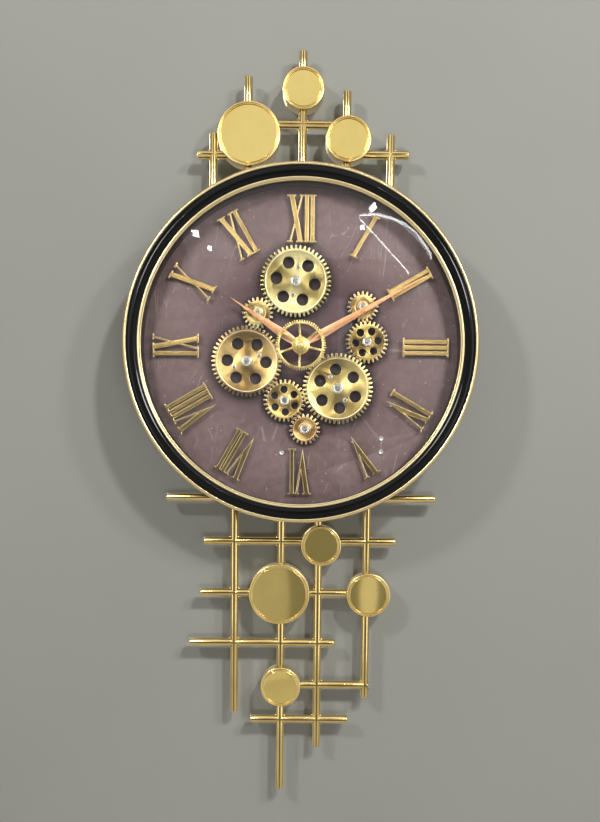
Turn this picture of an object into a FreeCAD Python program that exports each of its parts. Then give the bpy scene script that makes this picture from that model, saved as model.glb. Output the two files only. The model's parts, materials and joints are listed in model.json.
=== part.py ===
import FreeCAD
import Part
import math
import os

# A wall clock with an open gear train, in millimetres.
# Depths are measured from the wall towards the viewer, so a depth of 10 lies at y = -10.
# The pieces are placed round the dial's axis, and export moves them so that the origin is
# the centre of the hanging hole, in the wall's plane. +Z is up and the front looks along -Y.

Vector = FreeCAD.Vector
full_turn = 360.0
toward_viewer = Vector(0, -1, 0)

# Clearances and cuts
overrun = 1.0
fit_gap = 0.1
running_gap = 0.06
axial_play = 0.3
leaf_gap = 0.5

# Bezel, case and glass
bezel_radius = 250.0
outer_ring_width = 5.0
outer_ring_depth = 18.0
outer_ring_edge = 2.0
band_width = 15.5
band_height = 7.5
band_crown = 4.5
inner_ring_width = 5.9
ring_height = 4.0
ring_crown = 1.6
sight_step = 1.0
case_wall = 16.0
case_front = 57.0
rabbet_width = 8.0
glass_thick = 3.0
glass_rise = 12.0
gasket_thick = 1.5

# Back panel, dial and the room between them
bar_size = 11.5
bar_standoff = 8.5
panel_thick = 3.0
panel_inset = 1.5
cavity_depth = 7.0
dial_thick = 3.0

# Roman hours
hour_margin = 13.6
hour_gap = 3.5
hour_thick = 3.0
hour_standoff = 7.0
hour_bevel = 0.7
stroke_width = 5.8
thin_stroke = 2.6
stroke_gap = 2.2
serif_height = 2.6
serif_reach = 2.8
letter_width = 20.0
hour_post_radius = 1.5

# Gear train
gear_module = 2.0
mesh_overlap = 2.4
tooth_depth = 5.2
tooth_tip_width = 2.2
tooth_root_width = 3.5
gear_thick = 6.0
gear_recess = 1.5
shoulder_height = 4.7
post_radius = 3.0
post_shoulder_radius = 6.0
cap_height = 2.7
cap_crown = 1.0
drive_x = -76.8
drive_z = -21.4
gear_screw_radius = 3.5
gear_screw_shank = 1.6
gear_screw_height = 1.2

# Hands and centre wheel
hour_hand_length = 120.0
hour_hand_width = 13.0
minute_hand_length = 203.0
minute_hand_width = 12.0
hand_sheet = 0.8
hand_ridge = 0.8
hand_hub_thick = 1.8
hand_layer_gap = 1.2
hour_pipe_radius = 2.5
minute_pipe_radius = 1.7
seconds_radius = 0.9
hour_hub_radius = 6.5
minute_hub_radius = 5.5
wheel_radius = 35.2
wheel_rim_width = 2.6
wheel_tooth_depth = 2.7
wheel_tooth_width = 1.5
wheel_thick = 3.0
wheel_hub_radius = 12.3
wheel_step = 1.0
wheel_hub_step = 6.3
spoke_root_width = 3.4
spoke_tip_width = 2.4
boss_radius = 4.4
boss_height = 3.6

# Movement, gear motor, cells and threaded bushes
module_size = 56.0
module_depth = 16.0
module_corner = 4.0
cell_radius = 7.25
cell_length = 50.5
cell_gap = 0.25
shaft_inset = 2.0
hour_pipe_inset = 3.0
minute_pipe_inset = 2.5
module_floor = 1.0
cell_drop = 18.0
cell_tip_radius = 2.7
cell_tip_length = 1.2
bush_wall = 1.5
bush_reach = 5.5
nut_radius = 7.5
nut_height = 3.0
knob_radius = 6.0
knob_height = 3.5
knob_stem_radius = 1.5
knob_stem_length = 5.0
knob_offset = 13.0

# Lattices, cups and mirrors
bar_wall = 1.4
crossbar_inset = 0.25
bar_behind_case = 45.0
cup_depth = 24.0
cup_rim = 4.8
cup_edge = 1.3
cup_recess = 3.2
mirror_thick = 1.6
large_cup_radius = 45.0
middle_cup_radius = 32.5
small_cup_radius = 29.8

# Hanging plate and fasteners
hang_inset = 89.1
hang_hole_radius = 5.0
hang_slot_radius = 2.6
hang_slot_length = 9.0
hanger_width = 44.0
hanger_height = 60.0
hanger_sheet = 2.0
hanger_foot = 14.0
dial_screw_radius = 4.1
dial_screw_height = 2.4
dial_screw_shank = 2.0
spacer_radius = 5.0
back_screw_radius = 3.1
back_screw_shank = 1.8
back_screw_height = 1.8
case_screw_length = 14.0

# Counts, angles and shares
panel_screw_count = 4
panel_screw_start = 40.0
hours_round = 12
hexagon_sides = 6
wheel_tooth_count = 62
gear_hole_count = 6
spoke_angles = (40.0, 94.0, 146.0, 199.0, 266.0, 347.0)
hour_hand_turn = 303.8
minute_hand_turn = 60.6
slant_share = 1.2
half_share = 0.5
post_spot_shares = (0.14, 0.86)
widest_share = {"hour": 0.24, "minute": 0.18}
neck_share = {"hour": 0.66, "minute": 0.47}
dial_screw_shares = ((-0.113, -0.649), (0.505, -0.556), (0.505, -0.639))

# The lattices, as shares of the bezel's radius: uprights as (x, tip height), crossbars as
# (height, left end, right end), and cups as (x, height, radius)
upper_upright_shares = ((-0.509, 1.215), (-0.310, 1.529), (0.001, 1.672), (0.254, 1.454),
                        (0.506, 1.212))
upper_crossbar_shares = ((1.267, -0.306, 0.262), (1.096, -0.602, -0.306), (1.103, 0.262, 0.608))
upper_cups = ((0.003, 1.459, small_cup_radius), (-0.306, 1.205, large_cup_radius),
              (0.262, 1.181, middle_cup_radius))
lower_upright_shares = ((-0.382, -2.154), (-0.105, -2.627), (0.114, -2.364), (0.400, -2.062))
lower_crossbar_shares = ((-0.869, -0.782, 0.800), (-1.126, -0.563, 0.570),
                         (-1.434, -0.583, 0.414), (-1.735, -0.648, 0.214),
                         (-1.989, -0.103, 0.421), (-2.200, -0.283, 0.300))
lower_cups = ((0.131, -1.149, small_cup_radius), (-0.114, -1.438, large_cup_radius),
              (0.414, -1.440, middle_cup_radius), (-0.103, -1.997, small_cup_radius))

# Depths that follow from the sizes above
panel_back = bar_standoff + bar_size
panel_front = panel_back + panel_thick
dial_back = panel_front + cavity_depth
dial_front = dial_back + dial_thick
gear_back = dial_front + shoulder_height + axial_play
gear_front = gear_back + gear_thick
cap_back = gear_front + axial_play
cap_front = cap_back + cap_height
hour_hand_back = cap_front + hand_layer_gap
hour_hand_front = hour_hand_back + hand_hub_thick
minute_hand_back = hour_hand_front + hand_layer_gap
minute_hand_front = minute_hand_back + hand_hub_thick
wheel_back = minute_hand_front + hand_layer_gap
wheel_front = wheel_back + wheel_thick
module_front = dial_back
module_back = module_front - module_depth
cell_depth = module_back + cell_radius + cell_gap
glass_back = case_front + gasket_thick
glass_front = glass_back + glass_thick

# Radii that follow
band_outer = bezel_radius - outer_ring_width
band_inner = band_outer - band_width
sight_radius = band_inner - inner_ring_width
case_inner = sight_radius + sight_step
case_outer = case_inner + case_wall
rabbet_radius = case_inner + rabbet_width
dial_radius = rabbet_radius - fit_gap
panel_radius = case_outer - panel_inset
glass_radius = band_inner - leaf_gap
hang_rise = panel_radius - hang_inset
hour_bush_bore = hour_pipe_radius + running_gap
drive_bush_bore = post_radius + running_gap


def at(x, z, depth):
    return Vector(x, -depth, z)


def polar(radius, degrees, x=0.0, z=0.0):
    turn = math.radians(degrees)
    return x + radius * math.cos(turn), z + radius * math.sin(turn)


def rod(radius, back, front, x=0.0, z=0.0):
    return Part.makeCylinder(radius, front - back, at(x, z, back), toward_viewer)


def drilled(body, radius, back, front, places):
    for x, z in places:
        body = body.cut(rod(radius, back - overrun, front + overrun, x, z))
    return body


def collar(outer, inner, back, front, x=0.0, z=0.0):
    return drilled(rod(outer, back, front, x, z), inner, back, front, [(x, z)])


def hexagon(radius, x, z):
    step = full_turn / hexagon_sides
    return [polar(radius, step * index, x, z) for index in range(hexagon_sides)]


def slab(outline, back, front):
    corners = [at(x, z, back) for x, z in outline]
    face = Part.Face(Part.makePolygon(corners + corners[:1]))
    return face.extrude(toward_viewer * (front - back))


def turned(profile, x=0.0, z=0.0):
    # A point is (radius, depth), or (radius, depth, bulge) where an arc through bulge reaches it.
    spots = [at(x + point[0], z, point[1]) for point in profile]
    edges = []
    for index, point in enumerate(profile):
        start, end = spots[index - 1], spots[index]
        if len(point) > 2:
            bulge = at(x + point[2][0], z, point[2][1])
            edges.append(Part.Arc(start, bulge, end).toShape())
        else:
            edges.append(Part.LineSegment(start, end).toShape())
    return Part.Face(Part.Wire(edges)).revolve(at(x, z, 0), toward_viewer, full_turn)


def block(x0, x1, z0, z1, back, front):
    return Part.makeBox(x1 - x0, front - back, z1 - z0, at(x0, z0, front))


def edges_along(body, axis):
    mostly = half_share
    return [edge for edge in body.Edges
            if abs(getattr(edge.tangentAt(edge.FirstParameter), axis)) > mostly]


def solid_of(polygons):
    faces = [Part.Face(Part.makePolygon(corners + corners[:1])) for corners in polygons]
    shell = Part.makeShell(faces)
    shell.sewShape()
    body = Part.Solid(shell)
    if body.Volume < 0:
        body.reverse()
    return body


def fused(solids):
    return solids[0].multiFuse(solids[1:]).removeSplitter() if len(solids) > 1 else solids[0]


def export(name, solids):
    shape = Part.makeCompound([piece for solid in solids for piece in solid.Solids])
    shape.translate(Vector(0, 0, -hang_rise))
    shape.exportStep("parts/" + name + ".step")
    print(name, len(shape.Solids), "valid" if shape.isValid() else "NOT VALID")


# Places that more than one piece follows
def dial_screw_places():
    return [(dial_radius * x, dial_radius * z) for x, z in dial_screw_shares]


def upright_root(x, side):
    return side * (math.sqrt(panel_radius ** 2 - x ** 2) - bar_behind_case)


def case_screw_places():
    circle = half_share * (rabbet_radius + panel_radius)
    step = full_turn / panel_screw_count
    return [polar(circle, panel_screw_start + step * i) for i in range(panel_screw_count)]


def lattice_screw_places():
    places = []
    for side, shares in ((1, upper_upright_shares), (-1, lower_upright_shares)):
        for x_share, tip_share in shares:
            x = x_share * bezel_radius
            places.append((x, upright_root(x, side) + side * bar_size))
    return places


def hanger_screw_places():
    x = hanger_width / 2 + hanger_foot / 2
    z = hanger_height / 2 - hanger_foot / 2
    return [(i * x, hang_rise + k * z) for i in (-1, 1) for k in (-1, 1)]


# Case and bezel
def case_ring():
    ring = turned([
        (rabbet_radius, panel_front), (case_outer, panel_front), (case_outer, case_front),
        (case_inner, case_front), (case_inner, dial_front), (rabbet_radius, dial_front),
    ])
    screw_end = panel_back + case_screw_length
    return drilled(ring, back_screw_shank + fit_gap, panel_front, screw_end, case_screw_places())


def back_panel():
    panel = rod(panel_radius, panel_back, panel_front)
    half = module_size / 2 + leaf_gap
    for x, z in ((0.0, 0.0), (drive_x, drive_z)):
        panel = panel.cut(block(x - half, x + half, z - half, z + half,
                                panel_back - overrun, panel_front + overrun))
    holes = case_screw_places() + lattice_screw_places() + hanger_screw_places()
    panel = drilled(panel, back_screw_shank + fit_gap, panel_back, panel_front, holes)
    return drilled(panel, dial_screw_shank + fit_gap, panel_back, panel_front, dial_screw_places())


def bezel_outer_ring():
    front = case_front + band_height + ring_crown
    return turned([
        (band_outer, front - outer_ring_depth), (bezel_radius, front - outer_ring_depth),
        (bezel_radius, front - outer_ring_edge), (bezel_radius - outer_ring_edge, front),
        (band_outer, front),
    ])


def bezel_band():
    outer_edge = case_front + band_height
    inner_edge = outer_edge + ring_crown
    crown = ((band_outer + band_inner) / 2, outer_edge + band_crown)
    return turned([
        (band_inner, case_front), (band_outer, case_front), (band_outer, outer_edge),
        (band_inner, inner_edge, crown),
    ])


def bezel_inner_ring():
    outside = band_inner - fit_gap
    shoulder = glass_front + ring_height
    return turned([
        (sight_radius, glass_front), (outside, glass_front), (outside, shoulder),
        ((sight_radius + outside) / 2, shoulder + ring_crown), (sight_radius, shoulder),
    ])


def dome_bulge(radius, rise, base):
    # The point halfway along a dome's arc, from its rim at the base to its crown on the axis
    ball = (radius ** 2 + rise ** 2) / (2 * rise)
    turn = math.asin(radius / ball) / 2
    return ball * math.sin(turn), base + rise - ball + ball * math.cos(turn)


def glass_dome():
    inner_bulge = dome_bulge(sight_radius, glass_rise, glass_back)
    outer_bulge = dome_bulge(sight_radius, glass_rise, glass_front)
    return turned([
        (0, glass_back + glass_rise, inner_bulge), (0, glass_front + glass_rise),
        (sight_radius, glass_front, outer_bulge), (glass_radius, glass_front),
        (glass_radius, glass_back), (sight_radius, glass_back),
    ])


def glass_gasket():
    return collar(glass_radius, case_inner, case_front, glass_back)


# Dial and its screws
def dial_plate(post_places, bush_radius_at_axis, bush_radius_at_drive):
    dial = rod(dial_radius, dial_back, dial_front)
    dial = drilled(dial, dial_screw_shank + fit_gap, dial_back, dial_front, dial_screw_places())
    dial = drilled(dial, post_radius + fit_gap, dial_back, dial_front, post_places)
    dial = drilled(dial, bush_radius_at_axis + fit_gap, dial_back, dial_front, [(0.0, 0.0)])
    drive = [(drive_x, drive_z)]
    return drilled(dial, bush_radius_at_drive + fit_gap, dial_back, dial_front, drive)


def dial_screw(x, z):
    shank = rod(dial_screw_shank, panel_back, dial_front, x, z)
    edge = dial_front + dial_screw_height - cap_crown
    head = turned([
        (0, dial_front), (dial_screw_radius, dial_front), (dial_screw_radius, edge),
        (dial_screw_radius - cap_crown, edge + cap_crown), (0, edge + cap_crown),
    ], x, z)
    return shank.fuse(head)


def dial_spacer(x, z):
    return collar(spacer_radius, dial_screw_shank + fit_gap, panel_front, dial_back, x, z)


def back_screw(x, z, seat, end):
    head = slab(hexagon(back_screw_radius, x, z), seat - back_screw_height, seat)
    return head.fuse(rod(back_screw_shank, seat, end, x, z))


# Roman hours. A stroke is an outline in (across, outward) from the hour's inner edge.
def crossing(p, q, r, s):
    across = (p[0] - q[0]) * (r[1] - s[1]) - (p[1] - q[1]) * (r[0] - s[0])
    first = p[0] * q[1] - p[1] * q[0]
    second = r[0] * s[1] - r[1] * s[0]
    return ((first * (r[0] - s[0]) - (p[0] - q[0]) * second) / across,
            (first * (r[1] - s[1]) - (p[1] - q[1]) * second) / across)


def inset(outline, distance):
    area = sum(a[0] * b[1] - b[0] * a[1] for a, b in zip(outline, outline[1:] + outline[:1]))
    side = 1 if area > 0 else -1
    moved = []
    for a, b in zip(outline, outline[1:] + outline[:1]):
        length = math.hypot(b[0] - a[0], b[1] - a[1])
        shift_x = -side * (b[1] - a[1]) / length * distance
        shift_z = side * (b[0] - a[0]) / length * distance
        moved.append(((a[0] + shift_x, a[1] + shift_z), (b[0] + shift_x, b[1] + shift_z)))
    return [crossing(*moved[i - 1], *moved[i]) for i in range(len(moved))]


def bevelled(outline, back, front, bevel):
    low = [at(x, z, back) for x, z in outline]
    edge = [at(x, z, front - bevel) for x, z in outline]
    high = [at(x, z, front) for x, z in inset(outline, bevel)]
    polygons = [low, high]
    for lower, upper in ((low, edge), (edge, high)):
        for i in range(len(outline)):
            polygons.append([lower[i - 1], lower[i], upper[i], upper[i - 1]])
    return solid_of(polygons)


def letter_strokes(letter, u):
    # Returns the strokes, the spans that carry an outer and an inner serif, and the next start.
    top = hour_height
    if letter == "I":
        end = u + stroke_width
        outline = [(u, 0), (end, 0), (end, top), (u, top)]
        return [outline], [(u, end)], [(u, end)], end + stroke_gap, [((u + end) / 2,) * 2]
    thick = stroke_width * slant_share
    right = u + letter_width
    if letter == "X":
        heavy = [(right - thick, 0), (right, 0), (u + thick, top), (u, top)]
        light = [(u, 0), (u + thin_stroke, 0), (right, top), (right - thin_stroke, top)]
        outer = [(u, u + thick), (right - thin_stroke, right)]
        inner = [(u, u + thin_stroke), (right - thick, right)]
        return [heavy, light], outer, inner, right + stroke_gap, [(right - thick / 2, u + thick / 2)]
    apex = (u + letter_width / 2, 0)
    heavy_inside = ((u + thick, top), (apex[0] + thick, 0))
    light_inside = ((right - thin_stroke, top), (apex[0] - thin_stroke, 0))
    heavy = [(u, top), apex, crossing(*heavy_inside, (right, top), apex), (u + thick, top)]
    light = [(right, top), apex, crossing(*light_inside, (u, top), apex),
             (right - thin_stroke, top)]
    outer = [(u, u + thick), (right - thin_stroke, right)]
    return [heavy, light], outer, [], right + stroke_gap, [(apex[0] + thick / 2, u + thick / 2)]


def hour_shapes(text, hour):
    strokes, posts = [], []
    u = 0.0
    for letter in text:
        outlines, outer, inner, u, spines = letter_strokes(letter, u)
        strokes += outlines
        for a, b in outer:
            strokes.append([(a - serif_reach, hour_height - serif_height),
                            (b + serif_reach, hour_height - serif_height),
                            (b + serif_reach, hour_height), (a - serif_reach, hour_height)])
        for a, b in inner:
            strokes.append([(a - serif_reach, 0), (b + serif_reach, 0),
                            (b + serif_reach, serif_height), (a - serif_reach, serif_height)])
        posts.append(spines[0])
    middle = (u - stroke_gap) / 2
    turn = math.radians(full_turn / hours_round * hour)
    inner_radius = hour_ring_radius - hour_height

    def placed(point):
        across, out = point[0] - middle, inner_radius + point[1]
        return (out * math.sin(turn) + across * math.cos(turn),
                out * math.cos(turn) - across * math.sin(turn))

    back = dial_front + hour_standoff
    front = back + hour_thick
    body = fused([bevelled([placed(p) for p in s], back, front, hour_bevel) for s in strokes])
    spine = posts[len(posts) // 2]
    spots = []
    for share in post_spot_shares:
        across = spine[0] + (spine[1] - spine[0]) * share
        spots.append(placed((across, hour_height * share)))
    return body, [slab(hexagon(hour_post_radius, x, z), dial_front, back) for x, z in spots]


# Gear train: each gear's name, the gear that it meshes with and how it is dressed. The first
# gear is the driven one.
gear_train = (
    ("drive_gear", None, "large"),
    ("small_gear_left", "drive_gear", "small"),
    ("gear_top", "small_gear_left", "large"),
    ("middle_gear_lower", "drive_gear", "middle"),
    ("small_gear_bottom", "middle_gear_lower", "dished"),
    ("gear_right", "middle_gear_lower", "large"),
    ("middle_gear_right", "gear_right", "plain"),
    ("small_gear_right", "middle_gear_right", "small"),
)
gear_tooth_counts = {"large": 48, "middle": 28, "plain": 28, "dished": 20, "small": 20}
# Directions from the centre of the gear that carries each one
gear_mesh_angles = {"drive_gear": 0.0, "small_gear_left": 77.1, "gear_top": 40.0,
                    "middle_gear_lower": -45.4, "small_gear_bottom": -54.2, "gear_right": 13.1,
                    "middle_gear_right": 58.3, "small_gear_right": 97.6}
# Shares of the tip radius: hole circle, hole radius, recess radius, cap radius
dress_shares = {
    "large": (0.55, 0.171, 0.85, 0.15),
    "middle": (0.535, 0.183, 0.79, 0.23),
    "plain": (0.535, 0.188, 0, 0.225),
    "dished": (0, 0, 0.72, 0.31),
    "small": (0, 0, 0.5, 0.26),
}
hole_start = {"drive_gear": -2.5, "gear_top": -9.0, "gear_right": 36.5,
              "middle_gear_lower": 34.0, "middle_gear_right": 6.5}
screw_start = {"drive_gear": 25.0, "gear_top": 79.5, "gear_right": 124.0}
gear_screw_share = 0.39
boss_share = 1.25


def tip_radius(teeth):
    return gear_module * (teeth / 2 + 1)


def laid_out_train():
    # Each follower's teeth fall into the gaps of the gear that drives it.
    placed = {}
    for name, carrier, dress in gear_train:
        teeth, direction = gear_tooth_counts[dress], gear_mesh_angles[name]
        if carrier is None:
            placed[name] = (drive_x, drive_z, teeth, 0.0, dress)
            continue
        x, z, carrier_teeth, carrier_phase, _ = placed[carrier]
        distance = tip_radius(carrier_teeth) + tip_radius(teeth) - mesh_overlap
        spot = polar(distance, direction, x, z)
        along = (direction - carrier_phase) * carrier_teeth / full_turn
        back_along = half_share - along
        phase = direction + full_turn / 2 - back_along * full_turn / teeth
        placed[name] = (spot[0], spot[1], teeth, phase, dress)
    return placed


def train_reach():
    spots = laid_out_train().values()
    return max(math.hypot(x, z) + tip_radius(teeth) for x, z, teeth, _, _ in spots)


# The hours fill the room between the gear train and the case.
hour_ring_radius = case_inner - hour_margin
hour_height = hour_ring_radius - train_reach() - hour_gap


def toothed_outline(teeth, tip, root, tip_width, root_width, phase, x, z):
    outline = []
    root_half = math.degrees(math.asin(root_width / 2 / root))
    tip_half = math.degrees(math.asin(tip_width / 2 / tip))
    for index in range(teeth):
        middle = phase + full_turn / teeth * index
        outline.append(polar(root, middle - root_half, x, z))
        outline.append(polar(tip, middle - tip_half, x, z))
        outline.append(polar(tip, middle + tip_half, x, z))
        outline.append(polar(root, middle + root_half, x, z))
    return outline


def gear_screw_places(name, x, z, teeth):
    circle = tip_radius(teeth) * gear_screw_share
    start = screw_start[name]
    return [polar(circle, start + turn, x, z) for turn in (0.0, full_turn / 2)]


def gear(name, x, z, teeth, phase, dress):
    tip = tip_radius(teeth)
    circle, hole, recess, cap = [share * tip for share in dress_shares[dress]]
    body = slab(toothed_outline(teeth, tip, tip - tooth_depth, tooth_tip_width,
                                tooth_root_width, phase, x, z), gear_back, gear_front)
    if recess:
        web = gear_front - gear_recess
        body = body.cut(collar(recess, cap * boss_share, web, gear_front, x, z))
    if hole:
        step = full_turn / gear_hole_count
        start = hole_start[name]
        holes = [polar(circle, start + step * i, x, z) for i in range(gear_hole_count)]
        body = drilled(body, hole, gear_back, gear_front, holes)
    if name in screw_start:
        body = drilled(body, gear_screw_shank + fit_gap, gear_back, gear_front,
                       gear_screw_places(name, x, z, teeth))
    bore = post_radius + (fit_gap / 2 if name == "drive_gear" else running_gap)
    return drilled(body, bore, gear_back, gear_front, [(x, z)])


def gear_screw(x, z):
    web = gear_front - gear_recess
    return rod(gear_screw_shank, gear_back, web, x, z).fuse(
        rod(gear_screw_radius, web, web + gear_screw_height, x, z))


def domed_cap(radius, x, z):
    edge = cap_front - cap_crown
    return turned([
        (0, cap_back), (radius, cap_back), (radius, edge), (radius - cap_crown, cap_front),
        (0, cap_front),
    ], x, z)


def gear_post(x, z):
    post = rod(post_radius, dial_back, cap_back, x, z)
    return post.fuse(rod(post_shoulder_radius, dial_front, dial_front + shoulder_height, x, z))


def drive_shaft():
    # The shoulder stops short of the nut, and the shaft runs in the motor's bush.
    return fused([
        rod(post_radius, module_back + shaft_inset, cap_back, drive_x, drive_z),
        rod(post_shoulder_radius, dial_front + nut_height + axial_play, gear_back,
            drive_x, drive_z),
    ])


# Movement, motor and hands
def battery_module(x, z, bush_outer):
    half = module_size / 2
    body = block(x - half, x + half, z - half, z + half, module_back, module_front)
    body = body.makeFillet(module_corner, edges_along(body, "y"))
    body = body.cut(rod(bush_outer + fit_gap, module_back + module_floor,
                        module_front + overrun, x, z))
    reach = cell_length / 2
    bay_radius = cell_radius + cell_gap
    bay_z = z - cell_drop
    trough = Part.makeCylinder(bay_radius, reach * 2, at(x - reach, bay_z, cell_depth),
                               Vector(1, 0, 0))
    mouth = block(x - reach, x + reach, bay_z - bay_radius, bay_z + bay_radius,
                  module_back - overrun, cell_depth)
    return body.cut(trough).cut(mouth)


def cell(x, z):
    start = at(x - cell_length / 2, z - cell_drop, cell_depth)
    barrel = cell_length - cell_tip_length
    body = Part.makeCylinder(cell_radius, barrel, start, Vector(1, 0, 0))
    tip = Part.makeCylinder(cell_tip_radius, cell_tip_length, start + Vector(barrel, 0, 0),
                            Vector(1, 0, 0))
    return body.fuse(tip)


def threaded_bush(bore, x, z, front):
    return collar(bore + bush_wall, bore, module_back + module_floor, front, x, z)


def bush_nut(bore, x, z):
    return collar(nut_radius, bore + bush_wall + fit_gap, dial_front, dial_front + nut_height, x, z)


def hand(length, width, name, hub, pipe, turn, back):
    # A flat blade with a ridge along its middle, widest near the hub and pointed at the tip
    direction = math.radians(full_turn / 4 - turn)

    def spot(along, across, depth):
        return at(along * math.cos(direction) - across * math.sin(direction),
                  along * math.sin(direction) + across * math.cos(direction), depth)

    start, broad = hub / 2, length * widest_share[name]
    sheet, ridge = back + hand_sheet, back + hand_sheet + hand_ridge
    half = width / 2
    neck = half * neck_share[name]
    rim = [(start, -neck), (broad, -half), (length, 0), (broad, half), (start, neck)]
    low = [spot(a, c, back) for a, c in rim]
    edge = [spot(a, c, sheet) for a, c in rim]
    crest_start, crest = spot(start, 0, ridge), spot(broad, 0, ridge)
    polygons = [low, [edge[1], edge[2], crest], [edge[2], edge[3], crest]]
    polygons += [[edge[0], edge[1], crest], [edge[0], crest, crest_start]]
    polygons += [[edge[3], edge[4], crest], [edge[4], crest_start, crest]]
    polygons += [[low[i], low[i + 1], edge[i + 1], edge[i]] for i in range(len(rim) - 1)]
    polygons.append([low[4], low[0], edge[0], crest_start, edge[4]])
    blade = solid_of(polygons)
    front = back + hand_hub_thick
    body = fused([blade, rod(hub, back, front)])
    return drilled(body, pipe + fit_gap / 2, back, front, [(0.0, 0.0)])


def centre_wheel():
    root = wheel_radius - wheel_tooth_depth
    rim = slab(toothed_outline(wheel_tooth_count, wheel_radius, root, wheel_tooth_width,
                               wheel_tooth_width, 0.0, 0.0, 0.0), wheel_back, wheel_front)
    rim = drilled(rim, root - wheel_rim_width, wheel_back, wheel_front, [(0.0, 0.0)])
    pieces = [rim, rod(wheel_hub_radius, wheel_back, wheel_front - wheel_step),
              rod(wheel_hub_radius - wheel_hub_step, wheel_back, wheel_front)]
    length = root - wheel_rim_width / 2
    side = full_turn / 4
    root_half, tip_half = spoke_root_width / 2, spoke_tip_width / 2
    for turn in spoke_angles:
        corners = []
        for radius, half in ((0, -root_half), (length, -tip_half), (length, tip_half),
                             (0, root_half)):
            corners.append(polar(half, turn + side, *polar(radius, turn)))
        pieces.append(slab(corners, wheel_back, wheel_front - wheel_step))
    return drilled(fused(pieces), seconds_radius + fit_gap / 2, wheel_back, wheel_front,
                   [(0.0, 0.0)])


def seconds_arbor():
    # The boss in front of the wheel is the end of the arbor.
    boss = turned([
        (0, wheel_front), (boss_radius, wheel_front),
        (0, wheel_front + boss_height, dome_bulge(boss_radius, boss_height, wheel_front)),
    ])
    return rod(seconds_radius, module_back + shaft_inset, wheel_front).fuse(boss)


def set_knob():
    x, z = knob_offset, knob_offset
    knob = rod(knob_radius, module_back - knob_height - axial_play, module_back - axial_play, x, z)
    stem = rod(knob_stem_radius, module_back - axial_play, module_back + knob_stem_length, x, z)
    return knob.fuse(stem)


# Lattices. A bar is a round tube, open behind the case and closed at its tip. Crossbars are a
# little thinner, so they sit on the uprights in a saddle, and they are cut where an upright or
# a cup is in the way.
def bar_rod(radius, low, high, fixed, along):
    depth = bar_standoff + bar_size / 2
    if along == "x":
        return Part.makeCylinder(radius, high - low, at(low, fixed, depth), Vector(1, 0, 0))
    return Part.makeCylinder(radius, high - low, at(fixed, low, depth), Vector(0, 0, 1))


def tube(radius, low, high, fixed, along, closed):
    start = low + (bar_wall if "low" in closed else -overrun)
    end = high - (bar_wall if "high" in closed else -overrun)
    hollow = bar_rod(radius - bar_wall, start, end, fixed, along)
    return bar_rod(radius, low, high, fixed, along).cut(hollow)


def cup_places(table):
    return [(x * bezel_radius, z * bezel_radius, radius) for x, z, radius in table]


def cup_spaces(table):
    return [rod(radius, 0, cup_depth, x, z) for x, z, radius in cup_places(table)]


def upright_spans(shares, side):
    spans = []
    for x_share, tip_share in shares:
        x, tip = x_share * bezel_radius, tip_share * bezel_radius
        root = upright_root(x, side)
        spans.append((x, root, min(root, tip), max(root, tip)))
    return spans


def uprights(shares, side, cups):
    solids = []
    closed = "high" if side > 0 else "low"
    for x, root, low, high in upright_spans(shares, side):
        bar = tube(bar_size / 2, low, high, x, "z", (closed,))
        bar = drilled(bar, back_screw_shank + fit_gap, bar_standoff, panel_back,
                      [(x, root + side * bar_size)])
        solids.append(bar.cut(cup_spaces(cups)))
    return solids


def crossbars(shares, upright_shares, side, cups):
    solids = []
    in_the_way = cup_spaces(cups) + [bar_rod(bar_size / 2, low, high, x, "z")
                                     for x, _, low, high in upright_spans(upright_shares, side)]
    for z_share, left_share, right_share in shares:
        z, left, right = [share * bezel_radius for share in (z_share, left_share, right_share)]
        bar = tube(bar_size / 2 - crossbar_inset, left, right, z, "x", ("low", "high"))
        solids.append(bar.cut(in_the_way))
    return solids


def cup(x, z, radius):
    seat = cup_depth - cup_recess
    inside = radius - cup_rim
    return turned([
        (0, 0), (radius, 0), (radius, cup_depth - cup_edge), (radius - cup_edge, cup_depth),
        (inside, cup_depth), (inside, seat), (0, seat),
    ], x, z)


def mirror(x, z, radius):
    seat = cup_depth - cup_recess
    return rod(radius - cup_rim - fit_gap, seat, seat + mirror_thick, x, z)


# Hanging plate: a folded bracket with a keyhole, its rear face on the wall
def hanger_plate():
    half = hanger_width / 2
    low, high = hang_rise - hanger_height / 2, hang_rise + hanger_height / 2
    pieces = [block(-half, half, low, high, 0, hanger_sheet)]
    for side in (-1, 1):
        inner, outer = sorted((side * half, side * (half - hanger_sheet)))
        pieces.append(block(inner, outer, low, high, 0, panel_back))
        inner, outer = sorted((side * half, side * (half + hanger_foot)))
        pieces.append(block(inner, outer, low, high, panel_back - hanger_sheet, panel_back))
    body = fused(pieces)
    body = drilled(body, hang_hole_radius, 0, hanger_sheet, [(0.0, hang_rise)])
    slot_end = hang_rise + hang_slot_length
    body = body.cut(block(-hang_slot_radius, hang_slot_radius, hang_rise, slot_end,
                          -overrun, hanger_sheet + overrun))
    body = drilled(body, hang_slot_radius, 0, hanger_sheet, [(0.0, slot_end)])
    return drilled(body, back_screw_shank + fit_gap, panel_back - hanger_sheet, panel_back,
                   hanger_screw_places())


def back_screws():
    screws = [back_screw(x, z, panel_back, panel_back + case_screw_length)
              for x, z in case_screw_places()]
    screws += [back_screw(x, z, bar_standoff, panel_front) for x, z in lattice_screw_places()]
    screws += [back_screw(x, z, panel_back - hanger_sheet, panel_front)
               for x, z in hanger_screw_places()]
    return screws


os.makedirs("parts", exist_ok=True)
train = laid_out_train()
fixed_gears = [name for name in train if name != "drive_gear"]
post_places = [train[name][:2] for name in fixed_gears]

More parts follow.
